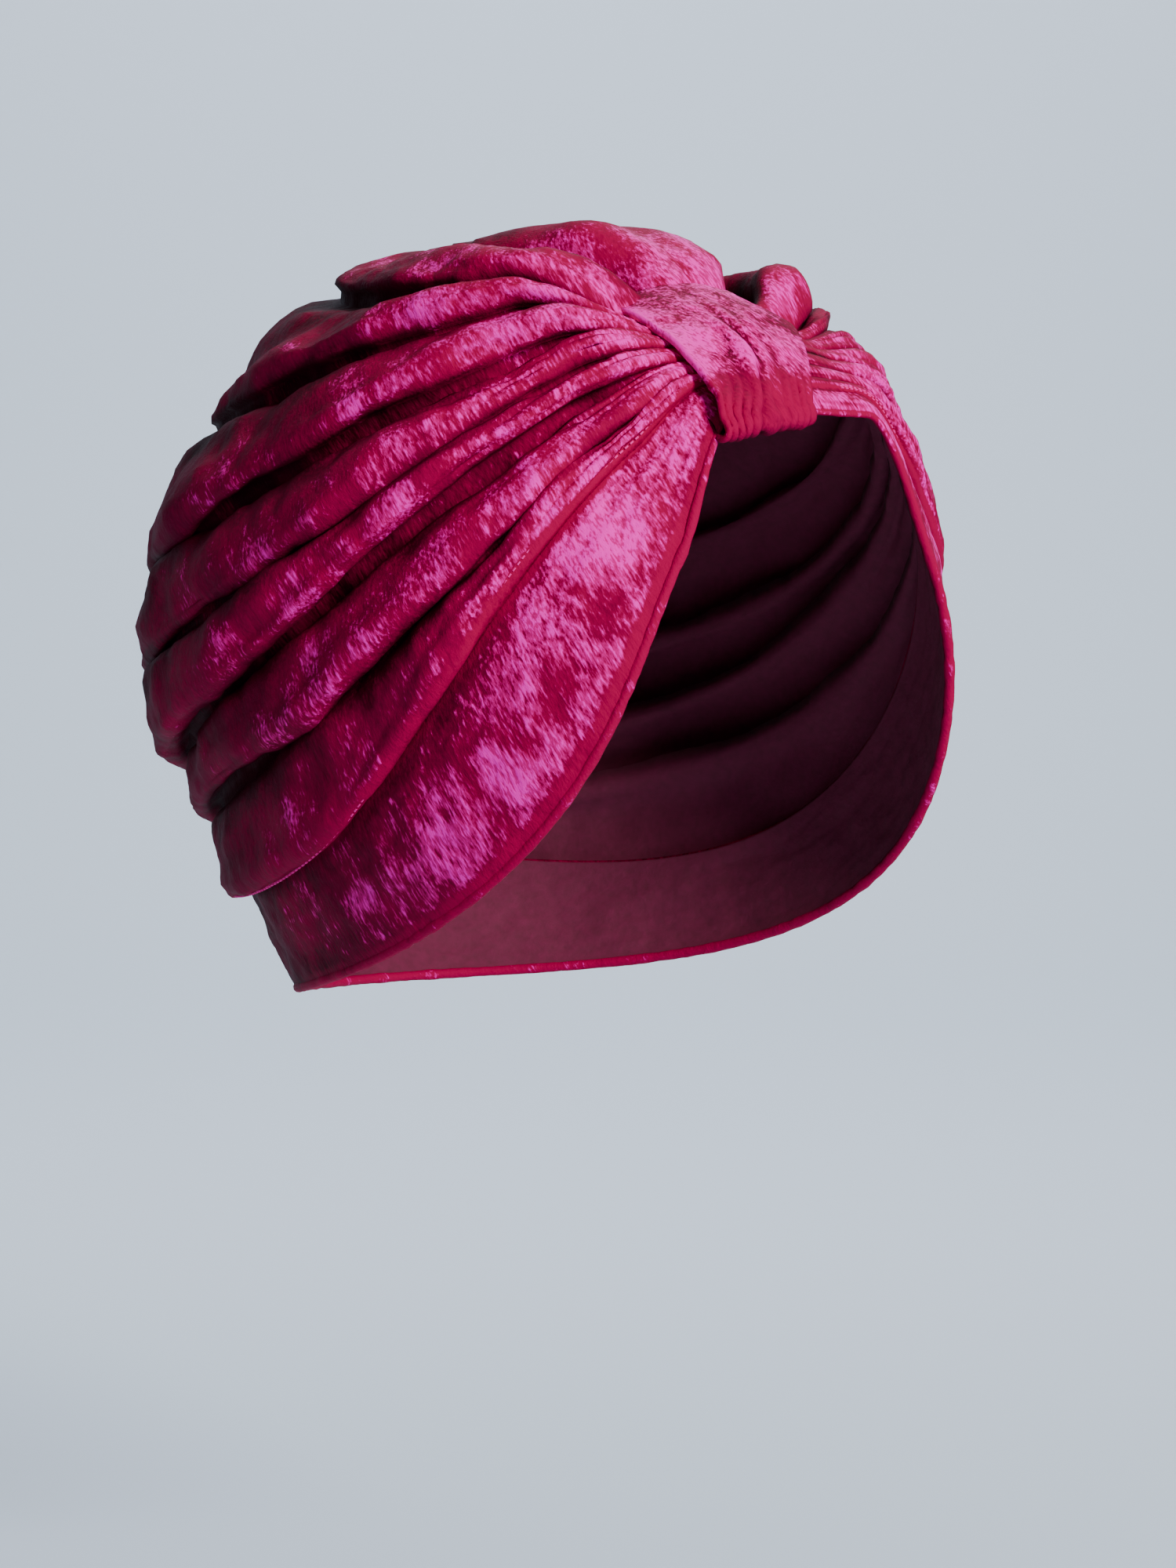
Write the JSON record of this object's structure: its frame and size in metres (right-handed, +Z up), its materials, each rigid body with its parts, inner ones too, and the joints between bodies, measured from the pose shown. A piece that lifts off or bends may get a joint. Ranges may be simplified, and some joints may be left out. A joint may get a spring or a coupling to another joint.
{
  "type": "turban headwrap",
  "caption": "Close-fitting pleated turban headwrap with a gathered front knot held by a centre band and a smooth lower band round the head.",
  "frame": {"origin": "middle of the head inside the cap, at the head-size line above the ears", "axes": "+Z up along the head, -Y towards the wearer's face, +X towards the wearer's left"},
  "size_m": [0.202, 0.2126, 0.2015],
  "materials": {
    "crown_cloth": "crushed velvet",
    "band_cloth": "crushed velvet",
    "centre_cloth": "crushed velvet"
  },
  "bodies": {
    "root": {"crown": "crown_cloth", "side_band": "band_cloth", "centre_band": "centre_cloth"}
  },
  "joints": []
}
